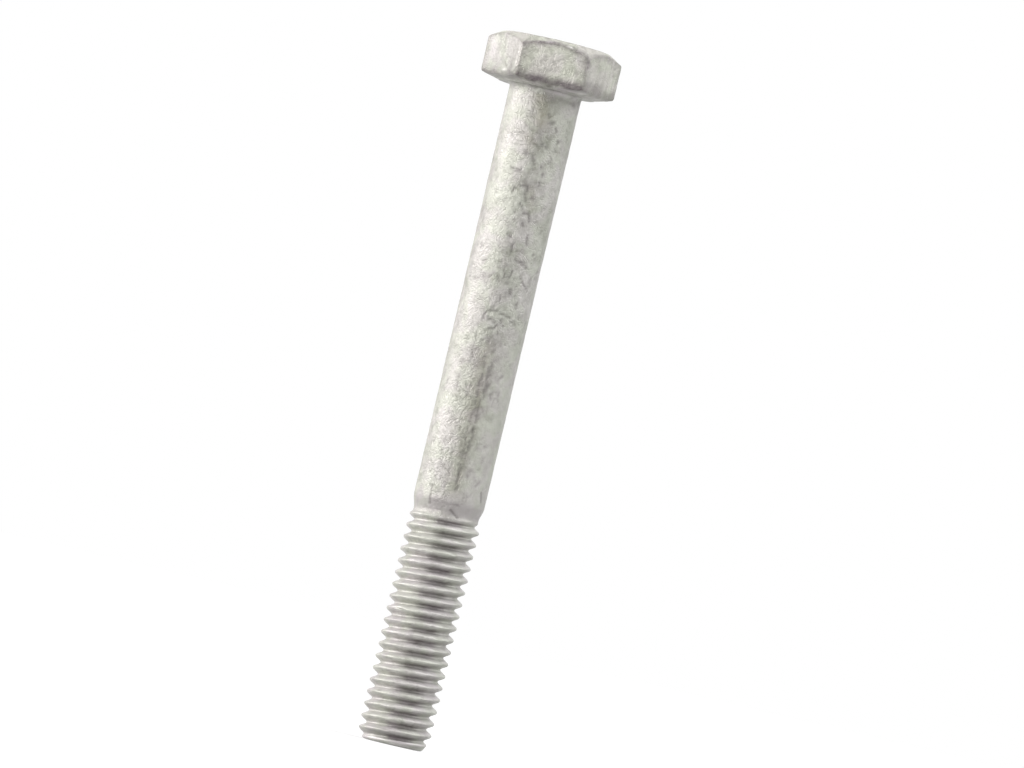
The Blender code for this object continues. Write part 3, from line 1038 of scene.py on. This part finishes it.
# Each face of the head has its own grain, going round from the back right, and so has its top.
FACE_GRAIN = np.array((0.65, 0.60, 0.75, 0.6, 1.2, 0.7))
TOP_GRAIN = 0.65
face_here = (np.degrees(np.arctan2(points[:, 1], points[:, 0])) % 360.0 / 60.0).astype(int) % 6
rough = np.where(level_here > 55.3, FACE_GRAIN[face_here], rough)
rough = np.where((level_here > 58.9) & (radius_here < TOP_CIRCLE), TOP_GRAIN, rough)
print("The roughest place is", round(float(rough.max() / rough.min()), 1), "times the smoothest")

# %% Painted light and shade along the thread
THREAD_END = 18.8
LAST_GROOVE = 0.85
on_turns = level_here < THREAD_END
# How far under a crest a point lies, as a share of the pitch.
under_crest = FIRST_CREST / MM + round_here * MM / SHANK_RADIUS / (2 * math.pi) - 0.25 - level_here
under_crest -= np.floor(under_crest)
# The grooves are darker, most at the front and at the back: partly iron showing through, partly painted
# shade.
groove_iron_and_shade = bell(round_here, 0.60, 1.50, 4) + 0.8 * bell(abs(round_here), 8.2, 1.6, 4)
# They are darkest on the lower flank of each turn, which faces down, and in the last groove before the tip:
# painted shade.
groove_iron_and_shade *= np.interp(under_crest, (0.2, 0.5, 0.62, 0.80), (1.1, 1.0, 0.95, 0.1))
groove_iron_and_shade *= 1 + 0.5 * bell(level_here, LAST_GROOVE, 0.3)
# The crests are painted darker at both sides, and a painted shadow lies under them along the front.
crest_shade = 0.26 * bell(abs(round_here), 2.6, 0.9) + 0.14 * bell(round_here, 2.0, 0.7)
lay(dirt_and_painted_shade, crest_shade * np.clip(np.cos(2 * math.pi * under_crest), 0, 1) * on_turns)
lay(dirt_and_painted_shade, 0.42 * bell(round_here, 1.2, 2.0, 4) * bell(under_crest, 0.20, 0.09) * on_turns)
# The last groove and the rim under it are painted darker along the front: painted shade.
last_groove_shade = 0.75 * bell(level_here, LAST_GROOVE, 0.20) + 0.45 * bell(level_here, 1.17, 0.12)
lay(dirt_and_painted_shade, last_groove_shade * bell(round_here, -0.1, 2.7, 4))
rim = 0.40 * bell(level_here, 0.0, 0.07) * (radius_here > 2.3 * MM)
lay(dirt_and_painted_shade, rim * bell(round_here, 0.8, 2.0, 4))
# The upper flank of each turn, which faces up, is painted paler: painted light.
lay(pale_run_and_painted_light, 0.65 * bell(under_crest, 0.77, 0.10) * on_turns)
print("The grooves hold up to", round(float(groove_iron_and_shade.max()), 2), "of the iron's colour")

# %% Pale runs and dabs
# Zinc ran round under the head and froze in pale streaks, on the slope and by the shank:
# strength, width and path.
runs_on_slope = [
    (0.8, 0.1, (0.3, 55.12), (1.2, 55.13), (2.1, 55.2)),
    (0.45, 0.08, (-1.6, 55.14), (-0.3, 55.1)),
]
runs_by_shank = [
    (0.3, 0.14, (-0.6, 54.9), (0.7, 54.86)),
    (0.5, 0.16, (0.7, 54.86), (2.1, 54.8)),
    (0.25, 0.16, (2.1, 54.8), (2.9, 54.76)),
]
under_head = points[:, 2] < 55.35 * MM
paint(pale_run_and_painted_light, under_head & (radius_here > 4.15 * MM), runs_on_slope)
paint(pale_run_and_painted_light, under_head & (radius_here > 2.90 * MM), runs_by_shank)
# Where a drop of zinc stood on the head and froze, it left a pale dab.
dabs_on_head = [
    (0.9, 0.09, (0.63, 58.62), (0.68, 58.62)),
    (0.45, 0.12, (-0.46, 58.68), (-0.36, 58.7)),
    (0.35, 0.12, (0.3, 57.98), (0.34, 57.82)),
    (0.35, 0.1, (1.11, 57.9), (1.13, 57.6)),
    (0.3, 0.09, (0.02, 58.0), (0.1, 57.6)),
    (0.6, 0.12, (-2.6, 55.72), (-2.48, 55.66)),
    (0.3, 0.32, (-3.98, 58.1), (-3.98, 56.9)),
]
paint(pale_run_and_painted_light, on_head, dabs_on_head)
print("The head has", len(runs_on_slope + runs_by_shank), "pale runs and", len(dabs_on_head), "dabs")

# %% Keep the measured size
points = np.clip(points, np.array(BOX_LOW), np.array(BOX_HIGH))
coated.vertices.foreach_set("co", points.ravel())
stored_values = {"dirt_and_painted_shade": dirt_and_painted_shade, "stained": stained, "coarse": rough, "groove_iron_and_shade": groove_iron_and_shade, "pale_run_and_painted_light": pale_run_and_painted_light}
for name, values in stored_values.items():
    coated.attributes.new(name, "FLOAT", "POINT").data.foreach_set("value", values)
coated.update()
size_now = points.max(axis=0) - points.min(axis=0)
print("The coated bolt is", [round(side / MM, 3) for side in size_now], "mm")

# %% [markdown]
# ## The look of galvanised zinc
#
# Fresh zinc is a pale, slightly warm grey metal. It isn't one grey: it clouds over a few
# millimetres, blotches over less than one, and is finely gritty. In the thread it is smoother
# and brighter on the crests and darker down in the grooves: partly iron, partly painted shade,
# with painted light on the upper flanks. On the head it is darker along the edges, partly dirt
# and iron, partly painted shade, and painted shade darkens the rolled lower edge of each face.
# All of this follows the bolt's own coordinates, so the pattern stays on the metal whichever
# way it is turned. The finish is built up like paint: first the greys, then each mark, stain
# and painted shade laid over them, and last the gloss and the grain.

# %% What the finish works with
DULL_ZINC = (0.270, 0.270, 0.240, 1)
PALE_ZINC = (0.515, 0.513, 0.485, 1)
BRIGHT_ZINC_AND_LIGHT = (0.580, 0.580, 0.555, 1)
DARK_ZINC_AND_SHADE = (0.150, 0.143, 0.135, 1)
FACE_ZINC_AND_LIGHT = (0.680, 0.680, 0.610, 1)
NECK_ZINC = (0.360, 0.345, 0.340, 1)
OLIVE_ZINC = (0.285, 0.268, 0.195, 1)
# The purple of iron showing through, also used for painted shade in the grooves and on the head.
PURPLE_IRON_AND_SHADE = (0.119, 0.101, 0.107, 1)
RUN_ZINC_AND_LIGHT = (0.640, 0.615, 0.625, 1)
OLIVE_TINT = (0.985, 1.0, 0.945, 1)
ROSE_TINT = (1.0, 0.968, 0.985, 1)
tree = empty_tree(zinc)
own = add_node(tree, "ShaderNodeTexCoord", give="Object")
level = add_node(tree, "ShaderNodeSeparateXYZ", {0: own}, give="Z")


def stored(name):
    """A number that the mesh carries under this name."""
    return add_node(tree, "ShaderNodeAttribute", give="Fac", attribute_name=name)


def at_heights(low, high, start=0.0, end=1.0):
    """Goes from start to end between two heights, in millimetres above the tip."""
    return ramp_between(level, low * MM, high * MM, start, end)


def squeezed(times):
    """The place on the bolt, with its height counted this many times over."""
    return add_node(tree, "ShaderNodeMapping", {"Vector": own, "Scale": (1, 1, times)})


def cover(share, paint_colour, under, kind="MIX"):
    """Covers the colour under it with another one, as much as share says."""
    values = {0: share, 6: under, 7: paint_colour}
    return add_node(tree, "ShaderNodeMix", values, give=2, data_type="RGBA", blend_type=kind)


clouds = cloud(own, 3.2 * MM, detail=3.0, bend=0.3, seed=1.0)
blotches = cloud(own, 0.66 * MM, detail=3.0, rough=0.55, bend=0.6, seed=2.0)
grit = cloud(own, 0.17 * MM, rough=0.6, seed=3.0)
threaded_here = stored("threaded")
coarse_here = stored("coarse")
head_here = at_heights(55.0, 55.2)
neck_here = at_heights(19.2, 19.5) * at_heights(20.2, 20.9, 1.0, 0.0)
tip_here = at_heights(0.30, 0.60, 1.0, 0.0)
print("The places and the noise are ready")

# %% The greys of the coat and of the thread
mottle = ramp_between(clouds * 0.30 + blotches * 0.50 + grit * 0.20, 0.36, 0.64, kind="LINEAR")
contrast = ramp_between(coarse_here, 0.2, 1.0, 0.50, 1.1, "LINEAR")
colour = cover((mottle - 0.5) * contrast + 0.5, PALE_ZINC, DULL_ZINC)
# Streaks run round the thread, as the rolling dies leave them, and its grooves are darkened: partly iron,
# partly painted shade.
streaks = cloud(squeezed(3), 0.9 * MM, detail=3.0, rough=0.6, bend=0.4, seed=4.0)
bright = ramp_between(streaks, 0.3, 0.7, 0.05, 0.70, "LINEAR")
colour = cover(threaded_here * bright, BRIGHT_ZINC_AND_LIGHT, colour)
groove_iron_and_shade_here = (0.12 + stored("groove_iron_and_shade") * 0.68) * ramp_between(streaks, 0.3, 0.6, 1.1, 0.8)
colour = cover(ramp_between(stored("groove"), 0.25, 0.85) * groove_iron_and_shade_here, PURPLE_IRON_AND_SHADE, colour)
print("The coat and the thread have their greys")

# %% The head's colours
# Drips pulled straight down over its sides, and small flakes lie between them.
drips = cloud(squeezed(0.18), 0.60 * MM, bend=0.2, seed=9.0)
drips = head_here * ramp_between(drips, 0.55, 0.42, 0.0, 0.70) * stored("streaky")
flakes = cloud(own, 0.50 * MM, detail=2.5, rough=0.6, bend=0.8, seed=12.0)
flakes = head_here * ramp_between(flakes, 0.58, 0.38, 0.0, 0.31) * (coarse_here * coarse_here)
colour = cover(drips, DULL_ZINC, colour)
# The head's own paler zinc, and painted light that differs face by face.
colour = cover(head_here * stored("face_tone"), FACE_ZINC_AND_LIGHT, colour)
colour = cover(flakes, DULL_ZINC, colour)
# Darker along its edges, unevenly: partly iron showing through, partly painted shade.
colour = cover(stored("edge") * ramp_between(blotches, 0.38, 0.62, 0.85, 0.55), PURPLE_IRON_AND_SHADE, colour)
# Painted shade darkens the rolled lower edge of each face and the slope under it.
colour = cover(stored("rolled") * ramp_between(blotches, 0.40, 0.64, 0.95, 0.72), PURPLE_IRON_AND_SHADE, colour)
print("The head has its colours")

# %% Marks, stains, runs and painted shade
# Each of these covers what lies under it: where it is, how strongly it covers, and its colour.
covers = (
    (neck_here, 0.55, NECK_ZINC),
    # The tip's lowest ridge is painted a little paler: painted light on a surface that faces down.
    (tip_here, 0.12, BRIGHT_ZINC_AND_LIGHT),
    (stored("stained"), 0.50, OLIVE_ZINC),
    # Dirt from marks, ticks, nicks and smudges, and painted shade on the crests, under them, in the last
    # groove, on the tip's rim and in the ring under the head.
    (stored("dirt_and_painted_shade"), 0.80, DARK_ZINC_AND_SHADE),
    (stored("pitted"), 0.30, DARK_ZINC_AND_SHADE),
)
for where, strength, paint_colour in covers:
    colour = cover(where * strength, paint_colour, colour)
# Pale runs and dabs, and painted light on the upper flanks of the thread.
colour = cover(stored("pale_run_and_painted_light"), RUN_ZINC_AND_LIGHT, colour)
# The grey leans to olive in some places and to rose in others.
hue = ramp_between(cloud(own, 1.6 * MM, bend=0.4, seed=8.0), 0.38, 0.62)
colour = cover(1.0, cover(hue, ROSE_TINT, OLIVE_TINT), colour, "MULTIPLY")
print("The marks, stains and runs have their colours")

# %% The gloss and the grain
METAL_SHARE = 0.3
GRAIN_DEPTH = 0.040 * MM
gloss = ramp_between(blotches, 0.35, 0.65, 0.42, 0.58, "LINEAR") - threaded_here * 0.03
# Round grains and thin curled creases, weaker on the thread and the neck.
grains = cloud(own, 0.48 * MM, detail=1.5, bend=0.8, seed=5.0)
curls = maths("ABSOLUTE", cloud(own, 1.0 * MM, detail=1.0, bend=2.5, seed=6.0) - 0.5)
grain = grains + ramp_between(curls, 0.0, 0.10) * 0.55
weaker = ramp_between(threaded_here, 0.0, 1.0, 1.0, 0.35, "LINEAR")
weaker = weaker * ramp_between(neck_here, 0.0, 1.0, 1.0, 0.3, "LINEAR")
relief = {"Strength": 1.0, "Distance": GRAIN_DEPTH, "Height": grain * (weaker * coarse_here)}
bump = add_node(tree, "ShaderNodeBump", relief)
metal = {"Metallic": METAL_SHARE, "Base Color": colour, "Roughness": gloss, "Normal": bump}
surface = add_node(tree, "ShaderNodeBsdfPrincipled", metal)
add_node(tree, "ShaderNodeOutputMaterial", {"Surface": surface})
print("The zinc finish has", len(tree.nodes), "nodes")

# %% [markdown]
# ## Hand the bolt over
#
# The finished piece stands in for the measured solid, rides on the bolt's one body, and is
# no larger than it. The camera's view is plain: no tone curve bends the greys.

# %% Hand over
bpy.context.scene.view_settings.view_transform = "Standard"
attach(bolt, "root")
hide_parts("hex_bolt")
